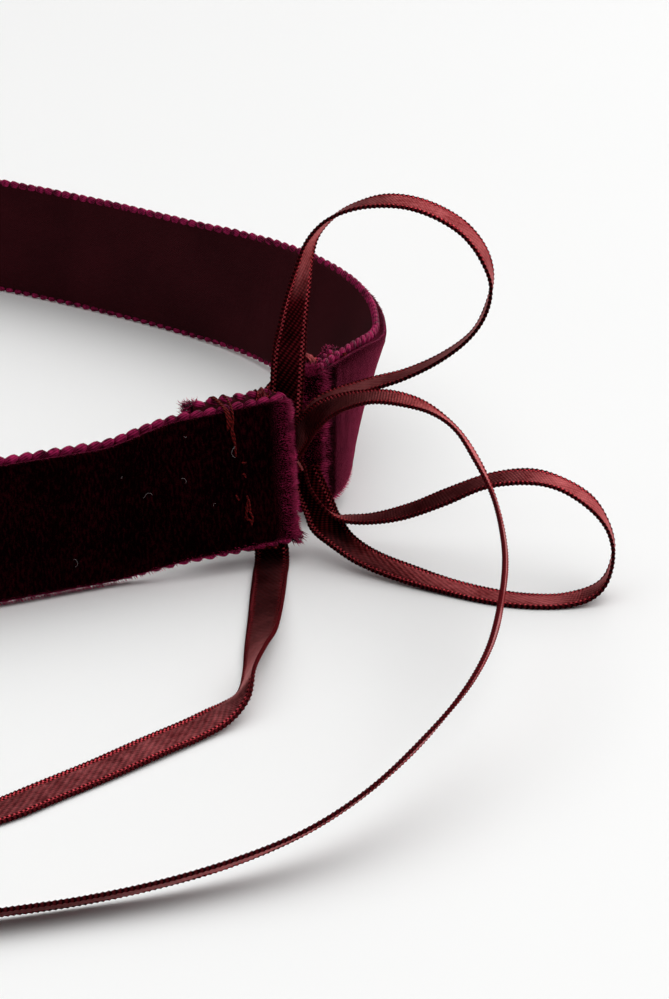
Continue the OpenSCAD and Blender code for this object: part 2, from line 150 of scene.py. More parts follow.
HANGING_TAIL = [
    ((0.0476, -0.0353, 0.0030), (1, 0.3, 0.1)),
    ((0.0481, -0.0360, 0.0012), (1, 0.1, 0)), ((0.0482, -0.0376, 0.0003), (1, 0, 0)),
    ((0.0481, -0.0402, 0.0003), (1, 0, 0)), ((0.0480, -0.0445, 0.0004), (1, 0, 0.1)),
    ((0.0479, -0.0495, 0.0007), (1, 0, 0.3)), ((0.0477, -0.0550, 0.0011), (0.9, 0, 0.5)),
    ((0.0473, -0.0605, 0.0015), (0.6, 0, 0.8)), ((0.0468, -0.0647, 0.0016), (0.5, -0.1, 0.9)),
    ((0.0460, -0.0674, 0.0011), (0.8, -0.5, 0.4)), ((0.0447, -0.0693, 0.0007), (0.8, -0.6, 0)),
    ((0.0429, -0.0712, 0.0005), (0.7, -0.7, -0.1)), ((0.0401, -0.0741, 0.0005), (0.7, -0.7, -0.1)),
    ((0.0367, -0.0776, 0.0004), (0.7, -0.7, -0.1)), ((0.0332, -0.0811, 0.0004), (0.7, -0.7, -0.1)),
    ((0.0300, -0.0842, 0.0004), (0.6, -0.8, -0.1)), ((0.0255, -0.0872, 0.0004), (0.5, -0.8, -0.1)),
    ((0.0195, -0.0895, 0.0003), (0.3, -0.9, 0)), ((0.0125, -0.0905, 0.0002), (0.1, -1, 0)),
    ((0.0050, -0.0902, 0.0002), (0, -1, 0)), ((-0.0030, -0.0888, 0.0002), (-0.2, -1, 0))]


# ---- camera, at the photograph's viewing angle ----

def make_camera():
    data = bpy.data.cameras.new("camera")
    data.angle = math.radians(CAMERA_FIELD)
    data.clip_start = 0.01
    camera = bpy.data.objects.new("camera", data)
    camera.location = CAMERA_PLACE
    camera.rotation_euler = (math.radians(90 - CAMERA_DOWN), 0, 0)
    bpy.context.collection.objects.link(camera)
    bpy.context.scene.camera = camera


# ---- mesh making ----

class Piece:
    """The points, faces and surface places (u, v, in millimetres) of one mesh."""

    def __init__(self):
        self.points = []
        self.faces = []
        self.places = []

    def add_rows(self, rows, places):
        """A closed tube through rings of points, all with the same count."""
        first = len(self.points)
        count = len(rows[0])
        for row, row_places in zip(rows, places):
            self.points.extend(row)
            self.places.extend(row_places)
        for i in range(len(rows) - 1):
            for k in range(count):
                a = first + i * count + k
                b = first + i * count + (k + 1) % count
                self.faces.append((a, a + count, b + count, b))
        last = first + (len(rows) - 1) * count
        self.faces.append(tuple(range(first, first + count)))
        self.faces.append(tuple(range(last + count - 1, last - 1, -1)))

    def add_fibre(self, root, tip, width, bow=Vector((0, 0, 0)), painted_light=1.0):
        """A hair that narrows from its root to its tip, bowed sideways on the way. Its last
        argument is painted light: a factor that brightens the hair's colour as if it were turned to
        the light."""
        along = tip - root
        side = along.orthogonal().normalized() * (width / 2)
        other = along.cross(side).normalized() * (width / 2)
        first = len(self.points)
        for share, thick in ((0, 1), (0.55, 0.75)):
            centre = root + along * share + bow * (share * 2)
            for angle in (0, 2.094, 4.189):
                self.points.append(
                    centre + (side * math.cos(angle) + other * math.sin(angle)) * thick)
                self.places.append((share, painted_light))
        self.points.append(tip)
        self.places.append((1, painted_light))
        for k in range(3):
            a = first + k
            b = first + (k + 1) % 3
            self.faces.append((a, b, b + 3, a + 3))
            self.faces.append((a + 3, b + 3, first + 6))

    def add_tube(self, line, radius, sides=8):
        """A round thread along a line of points, narrowed at its two ends."""
        rows = []
        places = []
        side = (line[1] - line[0]).orthogonal().normalized()
        travelled = 0.0
        for i, point in enumerate(line):
            before = line[max(0, i - 1)]
            along = (line[min(len(line) - 1, i + 1)] - before).normalized()
            side = (side - along * side.dot(along)).normalized()
            other = along.cross(side)
            travelled += (point - before).length
            thick = radius * (0.45 if i in (0, len(line) - 1) else 1)
            turns = [math.tau * k / sides for k in range(sides)]
            rows.append([point + (side * math.cos(a) + other * math.sin(a)) * thick
                         for a in turns])
            places.append([(travelled / MM, a) for a in turns])
        self.add_rows(rows, places)

    def make(self, name, material):
        mesh = bpy.data.meshes.new(name)
        mesh.from_pydata(self.points, [], self.faces)
        layer = mesh.uv_layers.new(name="places")
        corners = [0] * len(mesh.loops)
        mesh.loops.foreach_get("vertex_index", corners)
        layer.data.foreach_set("uv", [x for c in corners for x in self.places[c]])
        mesh.polygons.foreach_set("use_smooth", [True] * len(mesh.polygons))
        mesh.materials.append(material)
        mesh.update()
        piece = bpy.data.objects.new(name, mesh)
        bpy.context.collection.objects.link(piece)
        return piece


def smooth_step(share):
    share = min(1.0, max(0.0, share))
    return share * share * (3 - 2 * share)


def spline(a, b, c, d, f):
    """The point a share f of the way from b to c, on a smooth curve."""
    return 0.5 * (2 * b + (c - a) * f + (2 * a - 5 * b + 4 * c - d) * f ** 2
                  + (3 * b - a - 3 * c + d) * f ** 3)


def smooth_line(points, steps):
    """A smooth curve through points, with that many steps in each span."""
    last = len(points) - 1
    line = []
    for i in range(last):
        for j in range(steps):
            line.append(spline(points[max(0, i - 1)], points[i], points[i + 1],
                               points[min(last, i + 2)], j / steps))
    line.append(points[last])
    return line


# ---- materials ----

class Look:
    """A principled material and short ways to add nodes to it."""

    def __init__(self, name, **constants):
        self.material = bpy.data.materials.new(name)
        self.material.use_nodes = True
        self.nodes = self.material.node_tree.nodes
        self.shader = self.nodes["Principled BSDF"]
        for socket, value in constants.items():
            self.shader.inputs[socket.replace("_", " ")].default_value = value

    def link(self, source, target):
        self.material.node_tree.links.new(source, target)

    def add(self, kind, inputs=None, **settings):
        """A node with its settings, and its inputs set to values or linked to outputs."""
        node = self.nodes.new(kind)
        for key, value in settings.items():
            setattr(node, key, value)
        for socket, value in (inputs or {}).items():
            if isinstance(value, bpy.types.NodeSocket):
                self.link(value, node.inputs[socket])
            else:
                node.inputs[socket].default_value = value
        return node

    def math(self, operation, *values):
        return self.add("ShaderNodeMath", dict(enumerate(values)), operation=operation).outputs[0]

    def places(self):
        """The mesh's own (u, v) in millimetres, as two outputs."""
        split = self.add("ShaderNodeSeparateXYZ", {0: self.add("ShaderNodeUVMap").outputs[0]})
        return split.outputs[0], split.outputs[1]

    def vector(self, x, y):
        return self.add("ShaderNodeCombineXYZ", {0: x, 1: y}).outputs[0]

    def noise(self, scale, detail=2.0, vector=None):
        """Noise over the object in space, or over the vector given."""
        if vector is None:
            vector = self.add("ShaderNodeTexCoord").outputs["Object"]
        return self.add("ShaderNodeTexNoise", {
            "Vector": vector, "Scale": scale, "Detail": detail}).outputs[0]

    def mix(self, share, low, high):
        """A colour between two, each a value or an output."""
        node = self.add("ShaderNodeMix", data_type="RGBA")
        for socket, value in (("Factor", share), ("A", low), ("B", high)):
            slot = [s for s in node.inputs if s.name == socket and s.enabled][0]
            if isinstance(value, bpy.types.NodeSocket):
                self.link(value, slot)
            else:
                slot.default_value = value
        return [s for s in node.outputs if s.enabled][0]

    def ramp(self, value, low, high):
        """0 below low, 1 above high, even between them."""
        return self.add("ShaderNodeMapRange", {
            "Value": value, "From Min": low, "From Max": high}).outputs[0]

    def colour(self, source):
        self.link(source, self.shader.inputs["Base Color"])

    def roughness(self, source):
        self.link(source, self.shader.inputs["Roughness"])

    def bump(self, height, depth, strength=1.0):
        """Relief of that depth, in metres."""
        node = self.add("ShaderNodeBump", {
            "Height": height, "Distance": depth, "Strength": strength})
        self.link(node.outputs[0], self.shader.inputs["Normal"])


def velvet_look():
    """Dense cut pile: near black where it's seen end on, magenta at a grazing angle."""
    look = Look("velvet_pile", Roughness=1.0, Specular_IOR_Level=0.0, Sheen_Weight=1.0,
                Sheen_Roughness=0.24, Sheen_Tint=(0.68, 0.075, 0.18, 1))
    along, up = look.places()
    cells = look.noise(9000, detail=3)
    drift = look.noise(260, detail=3)
    # faint upright rows of tufts, broken into short specks
    rows = look.noise(1.0, detail=2, vector=look.vector(
        look.math("MULTIPLY", along, 4.5), look.math("MULTIPLY", up, 1.6)))
    shade = look.math("ADD", look.math("MULTIPLY", rows, 0.7), look.math("MULTIPLY", cells, 0.5))
    shade = look.math("ADD", shade, look.math("MULTIPLY", drift, 0.3))
    look.colour(look.mix(look.ramp(shade, 0.72, 1.05),
                         (0.0012, 0.0001, 0.0002, 1), (0.0240, 0.0012, 0.0032, 1)))
    look.bump(cells, 0.00012, 0.8)
    return look.material


def fibre_look():
    """Single pile fibres, painted in shade at the root and with a bright magenta painted highlight
    towards the tip, scaled by each fibre's painted light.
    """
    look = Look("pile_fibre", Roughness=0.6, Specular_IOR_Level=0.1,
                Specular_Tint=(1, 0.2, 0.5, 1))
    along, painted_light = look.places()
    speck = look.noise(5000)
    # painted shade at the root and painted highlight towards the tip, broken by specks, then scaled
    # by the fibre's painted light
    share = look.math("MULTIPLY", look.ramp(along, 0.15, 1.0), look.ramp(speck, 0.15, 0.75))
    look.colour(look.mix(look.math("MULTIPLY", share, painted_light),
                         (0.0040, 0.0002, 0.0010, 1), (1.0, 0.060, 0.24, 1)))
    return look.material


def selvedge_look():
    """Weft loops of shiny filament yarn along the velvet's edges."""
    look = Look("selvedge_loops", Specular_IOR_Level=0.03)
    around, across = look.places()
    strands = look.math("SINE", look.math("MULTIPLY", across, math.tau * 6))
    wander = look.noise(1800)
    look.colour(look.mix(look.ramp(look.math("ADD", wander, look.math("MULTIPLY", strands, 0.1)),
                                   0.3, 0.75),
                         (0.035, 0.0012, 0.008, 1), (0.44, 0.0180, 0.105, 1)))
    look.roughness(look.ramp(wander, -0.3, 1.4))
    look.bump(strands, 0.00003, 0.7)
    return look.material


def ground_look():
    """The velvet's woven back: smooth, dark maroon, with a fine crosswise rib."""
    look = Look("velvet_ground", Specular_IOR_Level=0.03, Roughness=0.7)
    along, up = look.places()
    ribs = look.math("SINE", look.math("MULTIPLY", along, math.tau / 0.3))
    warps = look.math("SINE", look.math("MULTIPLY", up, math.tau / 0.24))
    weave = look.math("MULTIPLY", ribs, warps)
    drift = look.noise(140, detail=3)
    fleck = look.noise(6000)
    look.colour(look.mix(look.ramp(look.math("ADD", look.math("MULTIPLY", drift, 0.7),
                                             look.math("MULTIPLY", fleck, 0.3)), 0.3, 0.7),
                         (0.026, 0.0032, 0.0050, 1), (0.046, 0.0055, 0.0085, 1)))
    look.bump(look.math("ADD", weave, look.math("MULTIPLY", fleck, 0.8)), 0.00003, 0.5)
    return look.material


def satin_look():
    """Double-face satin: a smooth diagonal weave between two rows of picot loops. Its
    gloss spreads across the ribbon, because its floats run lengthwise."""
    look = Look("satin_ribbon", Metallic=0.95, Specular_IOR_Level=0.1,
                Specular_Tint=(1, 0.45, 0.45, 1), Anisotropic=0.8, Anisotropic_Rotation=0.25)
    tangent = look.add("ShaderNodeTangent", direction_type="UV_MAP", uv_map="places")
    look.link(tangent.outputs[0], look.shader.inputs["Tangent"])
    along, across = look.places()
    off_middle = look.math("ABSOLUTE", across)
    # fine satin floats, running steeply slantwise in short dashes
    slant = look.math("ADD", along, look.math("MULTIPLY", across, 2.6))
    floats = look.math("SINE", look.math("MULTIPLY", slant, math.tau / 0.85))
    breaks = look.math("SINE", look.math("MULTIPLY", along, math.tau / 0.42))
    weave = look.math("MULTIPLY", floats, breaks)
    # rows of bright beads with dark gaps, set zigzag inside a dark scalloped rim of picots
    dots = look.math("SINE", look.math("MULTIPLY", along, math.tau / BEAD_PITCH))
    picots = look.math("SINE", look.math("MULTIPLY", along, math.tau / (PICOT_PITCH / MM)))
    inner = look.math("COMPARE", off_middle, 0.69, 0.065)
    outer = look.math("COMPARE", off_middle, 0.81, 0.055)
    row = look.math("MAXIMUM", inner, outer)
    zigzag = look.math("MULTIPLY", dots, look.math("SUBTRACT", inner, outer))
    rim = look.ramp(off_middle, 0.83, 0.89)
    drift = look.noise(420, detail=3)
    fleck = look.ramp(look.math("ADD", drift, look.math("MULTIPLY", weave, 0.5)), 0.4, 1.05)
    grain = look.math("ADD", look.math("MULTIPLY", look.noise(3200), 0.5),
                      look.math("MULTIPLY", weave, 0.03))
    grain = look.ramp(look.math("ADD", grain, look.math("MULTIPLY", drift, 0.5)), 0.3, 0.68)
    facing = look.mix(fleck, (0.006, 0.0006, 0.0010, 1), (0.120, 0.0085, 0.0130, 1))
    # painted sheen: seen aslant, the colour turns from the dark face-on colour to a bright rosy
    # one, which stands in for the satin's gloss
    aslant = look.add("ShaderNodeLayerWeight", {"Blend": 0.5}).outputs["Facing"]
    painted_sheen = look.mix(grain, (0.085, 0.0140, 0.0170, 1), (0.500, 0.1600, 0.1650, 1))
    middle = look.mix(look.ramp(aslant, 0.3, 0.9), facing, painted_sheen)
    beads = look.mix(look.ramp(zigzag, -0.1, 0.5), (0.004, 0.0005, 0.0008, 1),
                     (0.440, 0.0520, 0.0650, 1))
    edge = look.mix(look.ramp(picots, -0.4, 0.8), (0.008, 0.0009, 0.0014, 1),
                    (0.110, 0.0110, 0.0150, 1))
    look.colour(look.mix(rim, look.mix(row, middle, beads), edge))
    look.roughness(look.ramp(look.math("ADD", rim, look.math("MULTIPLY", drift, 0.3)),
                             -0.5, 1.6))
    look.bump(look.math("ADD", look.math("MULTIPLY", weave, 0.5),
                        zigzag), 0.00004, 0.6)
    return look.material


def thread_look():
    """Two-ply sewing thread, red brown."""
    look = Look("sewing_thread", Roughness=0.7, Specular_IOR_Level=0.08)
    along, around = look.places()
    twist = look.math("SINE", look.math("ADD", look.math("MULTIPLY", along, math.tau / 0.4),
                                        look.math("MULTIPLY", around, 2)))
    look.colour(look.mix(look.ramp(twist, -1, 1), (0.030, 0.0010, 0.0012, 1),
                         (0.150, 0.0050, 0.0045, 1)))
    look.bump(twist, 0.00005, 0.8)
    return look.material


def lint_look():
    look = Look("lint", Roughness=0.6)
    look.colour(look.mix(look.noise(3000), (0.12, 0.1, 0.1, 1), (0.38, 0.34, 0.34, 1)))
    return look.material


# ---- satin ribbon ----

# Section across the ribbon: (place from -1 to 1, half thickness as a share, rim share).
# The rims are beads of picot loops, with a groove between them and the satin.
ACROSS = [(-1, 0.25, 1), (-0.95, 0.75, 1), (-0.88, 1, 1), (-0.79, 0.5, 0.3), (-0.7, 0.62, 0),
          (-0.35, 0.68, 0), (0, 0.7, 0), (0.35, 0.68, 0), (0.7, 0.62, 0), (0.79, 0.5, 0.3),
          (0.88, 1, 1), (0.95, 0.75, 1), (1, 0.25, 1)]
RIBBON_STEP = PICOT_PITCH / 3


def ribbon_line(route):
    """The route as even steps: (distance, centre, direction along, across, through)."""
    centres = smooth_line([Vector(place) for place, width in route], 24)
    widths = smooth_line([Vector(width) for place, width in route], 24)
    distances = [0.0]
    for a, b in zip(centres, centres[1:]):
        distances.append(distances[-1] + (b - a).length)
    count = max(8, round(distances[-1] / RIBBON_STEP))
    line = []
    i = 0
    for n in range(count + 1):
        distance = distances[-1] * n / count
        while i < len(centres) - 2 and distances[i + 1] < distance:
            i += 1
        share = (distance - distances[i]) / (distances[i + 1] - distances[i])
        centre = centres[i].lerp(centres[i + 1], share)
        width = widths[i].lerp(widths[i + 1], share)
        ahead = centres[min(len(centres) - 1, i + 2)]
        behind = centres[max(0, i - 1)]
        along = (ahead - behind).normalized()
        across = (width - along * width.dot(along)).normalized()
        line.append((distance, centre, along, across, along.cross(across)))
    return line


def squeeze_at(squeeze, share):
    """The ribbon's width there, as a share, from a list of shares at even places."""
    place = share * (len(squeeze) - 1)
    before = min(int(place), len(squeeze) - 2)
    part = smooth_step(place - before)
    return squeeze[before] * (1 - part) + squeeze[before + 1] * part


def ribbon(name, route, material, squeeze=(1, 1), cut_end=0.0):
    """A stretch of satin ribbon. It's gathered into creases where squeeze is below 1,
    and cut_end slants its last edge."""
    piece = Piece()
    line = ribbon_line(route)
    length = line[-1][0]
    rows = []
    places = []
    for distance, centre, along, across, through in line:
        bead = 0.5 + 0.5 * math.cos(math.tau * distance / PICOT_PITCH)
        pucker = noise.noise(centre * 700) * 0.05 * MM
        slant = cut_end * smooth_step(1 - (length - distance) / (3 * MM))
        narrow = squeeze_at(squeeze, distance / length)
        row = []
        row_places = []
        for face, section in ((1, ACROSS), (-1, ACROSS[-2:0:-1])):
            for place, thick, rim in section:
                reach = SATIN_WIDTH / 2 * narrow * place * (1 + (bead - 1) * 0.05 * rim)
                crease = (1 - narrow) * math.cos(place * 5) * 0.3 * MM
                half = SATIN_THICKNESS / 2 * thick * (1 + (bead - 0.5) * 0.5 * rim)
                lift = half * face + crease + pucker * (1 - rim)
                row.append(centre + across * reach + through * lift + along * slant * place)
                row_places.append((distance / MM, place))
        rows.append(row)
        places.append(row_places)
    piece.add_rows(rows, places)
    made = piece.make(name, material)
    return made, line, length


def free_ribbon(name, route, material, body, cut_end=0.0):
    """A loop or tail: a free stretch of satin ribbon along its route, made in place of its CAD
    part.
    """
    made, line, length = ribbon(name, route, material, cut_end=cut_end)
    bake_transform(made)
    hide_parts(body)
    return made


def make_bow(satin):
    free_ribbon("upper_loop_ribbon", UPPER_LOOP, satin, "upper_loop")
    free_ribbon("lower_loop_ribbon", LOWER_LOOP, satin, "lower_loop")
    free_ribbon("arc_tail_ribbon", ARC_TAIL, satin, "arc_tail",
                cut_end=1.1 * MM)
    free_ribbon("hanging_tail_ribbon", HANGING_TAIL, satin, "hanging_tail",
                cut_end=1.1 * MM)


# ---- the band's frames ----

def table_at(table, place, column):
    """A value from rows of (place, value, ...), eased between two rows."""
    row = 0
    while row < len(table) - 2 and place >= table[row + 1][0]:
        row += 1
    low, high = table[row], table[row + 1]
    share = smooth_step((place - low[0]) / (high[0] - low[0]))
    return low[column] + (high[column] - low[column]) * share


def heading_vector(degrees):
    return Vector((math.cos(math.radians(degrees)), math.sin(math.radians(degrees))))


def arc_end(start, heading, length, turn):
    """Where an arc ends that starts at a place with a heading."""
    if turn == 0:
        return start + heading_vector(heading) * length
    radius = length / math.radians(turn)
    a, b = math.radians(heading), math.radians(heading - turn)
    return start + Vector((math.sin(a) - math.sin(b), math.cos(b) - math.cos(a))) * radius


def band_at(distance):
    """Place and heading on the band's middle line."""
    place, heading = BAND_START, BAND_HEADING
    for length, turn in BAND_ARCS[:-1]:
        if distance <= length:
            part = turn * distance / length
            return arc_end(place, heading, distance, part), heading - part
        place = arc_end(place, heading, length, turn)
        heading -= turn
        distance -= length
    length, turn = BAND_ARCS[-1]
    part = turn * distance / length
    return arc_end(place, heading, distance, part), heading - part


def band_frame(distance):
    """Frame of the band: its centre, and the directions along, outwards and up."""
    place, heading = band_at(distance)
    lift, lean, tilt = (table_at(BAND_POSE, distance, column) for column in (1, 2, 3))
    lean, tilt = math.radians(lean), math.radians(tilt)
    along = heading_vector(heading).to_3d()
    out = Vector((-along.y, along.x, 0))
    plumb = UP * math.cos(lean) - out * math.sin(lean)
    up = plumb * math.cos(tilt) - along * math.sin(tilt)
    tangent = along * math.cos(tilt) + plumb * math.sin(tilt)
    height = lift + HALF_BAND * math.cos(lean) * math.cos(tilt)
    return Vector((place.x, place.y, height)), tangent, up.cross(tangent), up


def band_point(distance, out, up):
    centre, along, out_way, up_way = band_frame(distance)
    return centre + out_way * out + up_way * up


CLOTH_FROM = -(FOLD_LENGTH + TAB_LENGTH)
CLOTH_TO = BAND_LENGTH + FOLD_LENGTH + TAB_LENGTH


def cloth_frame(place):
    """Frame of the velvet along its whole length, folds and tabs included: the middle of
    its ground, and the directions along it, to its pile side and up."""
    if 0 <= place <= BAND_LENGTH:
        return band_frame(place)
    near = place < 0
    end, inwards = (0, 1) if near else (BAND_LENGTH, -1)
    past = -place if near else place - BAND_LENGTH
    if past < FOLD_LENGTH:
        centre, along, out, up = band_frame(end)
        angle = past / FOLD_RADIUS
        pile = out * math.cos(angle) - along * inwards * math.sin(angle)
        middle = centre - out * FOLD_RADIUS + pile * FOLD_RADIUS
    else:
        centre, along, out, up = band_frame(end + inwards * (past - FOLD_LENGTH))
        pile = -out
        middle = centre - out * 2 * FOLD_RADIUS
    rise = NEAR_TAB_RISE if near else -FAR_TAB_DROP
    middle = middle + up * rise * smooth_step(past / FOLD_LENGTH - 0.2)
    return middle, pile.cross(up), pile, up


def cloth_places():
    """Places along the velvet, closer together at the folds and over the stitches."""
    places = [CLOTH_FROM]
    while places[-1] < CLOTH_TO - 0.2 * MM:
        past_end = min(abs(places[-1]), abs(places[-1] - BAND_LENGTH))
        places.append(places[-1] + (0.2 if past_end < 8 * MM else 0.8) * MM)
    return places[:-1] + [CLOTH_TO]


# ---- the velvet ribbon ----

def ground_cloth(material):
    """The woven ground, one cloth from raw end to raw end."""
    half = GROUND_THICKNESS / 2 * 0.8
    section = [(-half, HALF_BAND * share / 8) for share in range(-7, 8)]
    section += [(0, HALF_BAND * 0.97)]
    section += [(half, HALF_BAND * share / 8) for share in range(7, -8, -1)]
    section += [(0, -HALF_BAND * 0.97)]
    piece = Piece()
    rows = []
    places = []
    for place in cloth_places():
        centre, along, pile, up = cloth_frame(place)
        sway = noise.noise(centre * 60) * 0.12 * MM
        rows.append([centre + pile * (out + sway) + up * height for out, height in section])
        places.append([(place / MM, height / MM) for out, height in section])
    piece.add_rows(rows, places)
    return piece.make("velvet_cloth", material)


def pile_height(place):
    """The pile's surface: full height on the band, and lower where single fibres show
    round the folds."""
    past_end = min(abs(place), abs(place - BAND_LENGTH))
    outside = place < 0 or place > BAND_LENGTH
    near_fold = 1 - smooth_step((past_end - (FOLD_LENGTH if outside else 0)) / (1.6 * MM))
    return PILE_HEIGHT * (1 - 0.5 * near_fold)


def pile_surface(material):
    """The pile's closed body, with its long edges rounded over."""
    face = GROUND_THICKNESS / 2 * 0.7
    heights = [PILE_EDGE * share / 10 for share in range(-9, 10)]
    shoulder = [(0, -1, -0.25), (0.35, -1, 0.05), (0.72, -1, 0.08), (0.92, -1, -0.1)]
    piece = Piece()
    rows = []
    places = []
    for place in cloth_places():
        centre, along, pile, up = cloth_frame(place)
        tall = pile_height(place)
        row = []
        for share, side, over in shoulder:
            row.append((face + tall * share, side * (PILE_EDGE + over * MM)))
        for height in heights:
            ripple = noise.noise(centre * 900 + up * (height * 900)) * 0.05 * MM
            row.append((face + tall + ripple, height))
        for share, side, over in reversed(shoulder):
            row.append((face + tall * share, -side * (PILE_EDGE + over * MM)))
        rows.append([centre + pile * out + up * height for out, height in row])
        places.append([(place / MM, height / MM) for out, height in row])
    piece.add_rows(rows, places)
    return piece.make("velvet_pile_surface", material)


def spread(amount):
    return random.uniform(-amount, amount)


def edge_fibres(material):
    """Fibres along both long edges of the pile, leaning out over the selvedges. Those of the lower
    edge hang lower, and are painted brighter, as if they caught the light from below."""
    piece = Piece()
    place = CLOTH_FROM
    pitch = 0.13 * MM
    while place < CLOTH_TO:
        place += pitch
        centre, along, pile, up = cloth_frame(place)
        tall = pile_height(place)
        # the last value in each row is painted light: the lower edge's fibres are painted brighter
        # than the upper edge's
        for side, reach, stand, painted_light in ((-1, 0.24, 0.55, 1.9), (1, 0.16, 0.3, 0.8)):
            for inset in (0.0, 0.12, 0.25):
                foot = PILE_EDGE - inset * MM
                root = (centre + pile * (GROUND_THICKNESS * 0.4 + tall * 0.45)
                        + up * side * foot + along * spread(0.06 * MM))
                lean = (reach - inset * 0.6 + spread(0.1)) * MM
                tip = (root + pile * (tall * stand + spread(0.1 * MM)) + up * side * lean
                       + along * spread(0.12 * MM))
                piece.add_fibre(root, tip, 0.08 * MM, up * side * 0.03 * MM,
                                painted_light * random.uniform(0.3, 1.2))
    return piece.make("pile_edge_fibres", material)


def fold_fibres(name, end, way, material):
    """The pile fanned open round a fold: dense single fibres standing on the cloth."""
    piece = Piece()
    bend_pitch, flat_pitch, row_pitch = 0.055 * MM, 0.11 * MM, 0.115 * MM
    past, last = -2.2 * MM, FOLD_LENGTH + 1.5 * MM
    while past < last:
        past += bend_pitch if 0 < past < FOLD_LENGTH else flat_pitch
        height = -PILE_EDGE
        while height < PILE_EDGE:
            height += row_pitch
            place = end + way * (past + spread(0.05 * MM))
            centre, along, pile, up = cloth_frame(place)
            root = (centre + pile * (GROUND_THICKNESS * 0.4)
                    + up * (height + spread(0.04 * MM)))
            clump = noise.noise(centre * 1500 + up * (height * 1500))
            off_bend = max(-past, past - FOLD_LENGTH, 0) / (1.2 * MM)
            fullness = 0.78 + 0.14 * smooth_step(off_bend) + 0.12 * clump + spread(0.1)
            tall = PILE_HEIGHT * fullness
            # painted highlight: fibres round the bend are painted bright, standing in for their
            # sheen, and those off the bend nearly dark; it also varies with the clumps
            painted_light = (1 - 0.97 * smooth_step(off_bend)) * (0.85 + 0.6 * clump)
            lean = along * spread(0.14 * MM) + up * (clump * 0.2 * MM + spread(0.08 * MM))
            piece.add_fibre(root, root + pile * tall + lean, 0.085 * MM,
                            along * spread(0.05 * MM), painted_light)
    return piece.make(name, material)


def frayed_ends(material):
    """Loose yarns and fibres at the two raw ends and at the folds' open corners."""
    piece = Piece()
    end_fibres = 420
    for end, way in ((CLOTH_FROM, -1), (CLOTH_TO, 1)):
        for n in range(end_fibres):
            height = random.uniform(0.6 * MM - HALF_BAND, HALF_BAND)
            centre, along, pile, up = cloth_frame(end)
            root = centre + up * height + pile * random.uniform(0, 0.9) * MM
            reach = along * way * random.uniform(0.3, 1.3) * MM
            tip = root + reach + pile * spread(0.5 * MM) + up * spread(0.3 * MM)
            piece.add_fibre(root, tip, 0.08 * MM, up * spread(0.2 * MM))
    # Tufts at the top of each raw end and at a corner of each fold, as (place along the
    # cloth, side, length in millimetres, count)
    tufts = [(CLOTH_FROM, 1, 0.9, 130), (CLOTH_TO, 1, 0.4, 80),
             (-FOLD_LENGTH * 0.45, -1, 1.0, 110), (BAND_LENGTH + FOLD_LENGTH * 0.3, 1, 1.1, 200)]
    for place, side, length, count in tufts:
        centre, along, pile, up = cloth_frame(place)
        for n in range(count):
            root = (centre + up * side * (PILE_EDGE + random.uniform(-0.6, 0.4) * MM)
                    + pile * random.uniform(0.1, 0.9) * MM + along * spread(0.7 * MM))
            tip = (root + up * side * random.uniform(0.15, 0.75) * length * MM
                   + pile * random.uniform(0.2, 1.0) * length * MM + along * spread(0.5 * MM))
            piece.add_fibre(root, tip, 0.09 * MM, along * spread(0.12 * MM))
    return piece.make("frayed_fibres", material)


def weft_loops(name, side, material):
    """The selvedge along one long edge: a row of slanted, rounded loops of weft."""
    piece = Piece()
    half_along, half_up, half_out = 0.68 * MM, 0.43 * MM, 0.33 * MM
    overhang = 1 if side > 0 else 0.8
    count = round((CLOTH_TO - CLOTH_FROM) / WEFT_LOOP_PITCH)
    stations = 7
    sides = 10
    for n in range(count):
        place = CLOTH_FROM + (n + 0.5) * WEFT_LOOP_PITCH
        centre, along, pile, up = cloth_frame(place)
        middle = centre + up * side * (HALF_BAND - half_up * 0.98) + pile * 0.1 * MM
        axis = (along + up * side * -0.34 + pile * 0.12).normalized()
        across = (up * side - axis * axis.dot(up * side)).normalized()
        through = axis.cross(across)
        tall = half_up * overhang * random.uniform(0.93, 1.05)
        rows = []
        places = []
        for i in range(stations):
            share = -1 + 2 * i / (stations - 1)
            round_off = math.sqrt(max(0.03, 1 - abs(share) ** 2.6))
            ring_centre = middle + axis * half_along * share
            rows.append([
                ring_centre + across * tall * round_off * math.cos(math.tau * k / sides)
                + through * half_out * round_off * math.sin(math.tau * k / sides)
                for k in range(sides)])
            places.append([(share, 1 - abs(2 * k / sides - 1)) for k in range(sides)])
        piece.add_rows(rows, places)
    return piece.make(name, material)


# ---- sewing thread ----

def thread_run(piece, end, way, face, run, radius):
    """A strand worked in and out of one face of the band, whose pile starts at face. run
    has (distance from the end, height, depth sunk) in millimetres."""
    outwards = 1 if face > 0 else -1
    points = [band_point(end + way * place * MM, face - outwards * sunk * MM, height * MM)
              for place, height, sunk in run]
    piece.add_tube(smooth_line(points, 5), radius)


def wrapped_thread(piece, end, way, place, slip, radius, sunk=0.0):
    """A strand from the pile over the casing's upper edge and down its back. slip moves
    it along the edge on the way over, and sunk is how deep it's pulled in."""
    rise = NEAR_TAB_RISE if end == 0 else -FAR_TAB_DROP
    front = GROUND_THICKNESS / 2 + PILE_HEIGHT - sunk
    back = TAB_BACK + sunk
    top = HALF_BAND - sunk
    strand = [(place - slip * 0.5, front - 0.35 * MM, top - 2.4 * MM + slip),
              (place, front + radius * 0.4, top - 1.4 * MM),
              (place + slip * 0.2, front - 0.25 * MM, top - 0.45 * MM),
              (place + slip * 0.6, 0.3 * MM, top + radius * 0.7),
              (place + slip, -2.2 * FOLD_RADIUS, top + rise + radius * 0.6),
              (place + slip * 0.8, back + 0.25 * MM, top + rise - 0.6 * MM),
              (place + slip * 0.4, back + 0.2 * MM, top - 2 * MM)]
    points = [band_point(end + way * along, out, up) for along, out, up in strand]
    piece.add_tube(smooth_line(points, 5), radius)


